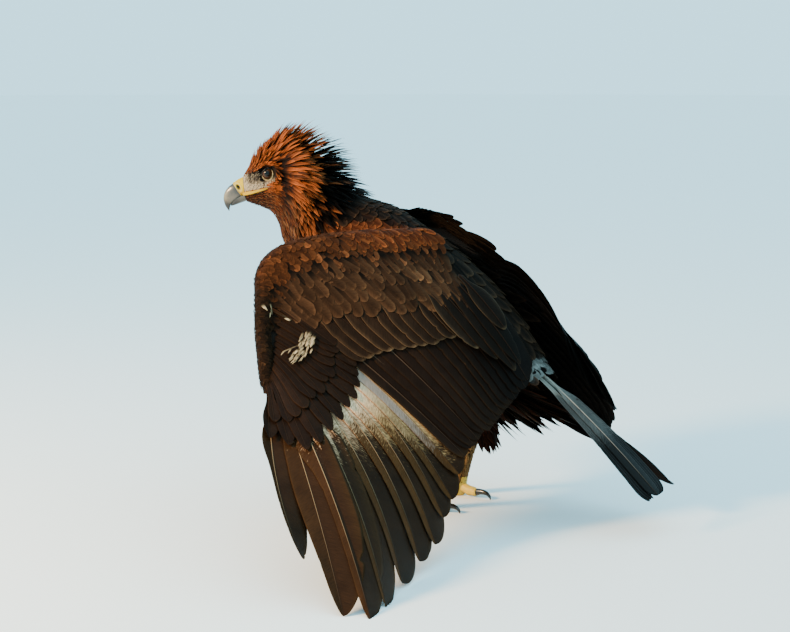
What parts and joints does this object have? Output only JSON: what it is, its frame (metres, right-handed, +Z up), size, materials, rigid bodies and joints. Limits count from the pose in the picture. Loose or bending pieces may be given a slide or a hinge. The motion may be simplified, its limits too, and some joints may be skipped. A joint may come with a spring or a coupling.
{
  "type": "golden eagle figure",
  "caption": "Life-size golden eagle standing still, head turned, hackles raised, with one wing let down to the floor and the other folded.",
  "frame": {"origin": "middle of the bounding box at floor level, under the bird", "axes": "+Z up from the floor, -Y the way the body faces, +X to the bird's own left, where the open wing reaches out"},
  "size_m": [0.7542, 0.7414, 0.6173],
  "materials": {
    "bill_horn": "grey horn, polished, black at the tip",
    "cere_skin": "bare yellow skin, slightly waxy",
    "eye": "wet cornea over a hazel iris",
    "claw_horn": "black horn, polished",
    "hackle": "rufous lanceolate feathers, dry",
    "tail_feather": "pale feather base with a dark end, dry",
    "flight_feather": "dark brown feather vanes, dry",
    "toe_skin": "yellow scaled skin",
    "body_plumage": "brown contour feathers, dry"
  },
  "bodies": {
    "root": {"beak_lower": "bill_horn", "beak_upper": "bill_horn", "cere": "cere_skin", "eye_left": "eye", "eye_right": "eye", "foot_left": "toe_skin", "foot_right": "toe_skin", "head": "hackle", "shank_left": "body_plumage", "shank_right": "body_plumage", "tail": "tail_feather", "talon_left_hind": "claw_horn", "talon_left_inner": "claw_horn", "talon_left_middle": "claw_horn", "talon_left_outer": "claw_horn", "talon_right_hind": "claw_horn", "talon_right_inner": "claw_horn", "talon_right_middle": "claw_horn", "talon_right_outer": "claw_horn", "thigh_left": "body_plumage", "thigh_right": "body_plumage", "torso": "body_plumage", "wing_left_arm": "flight_feather", "wing_left_hand": "flight_feather", "wing_right_arm": "flight_feather", "wing_right_hand": "flight_feather"}
  },
  "joints": []
}
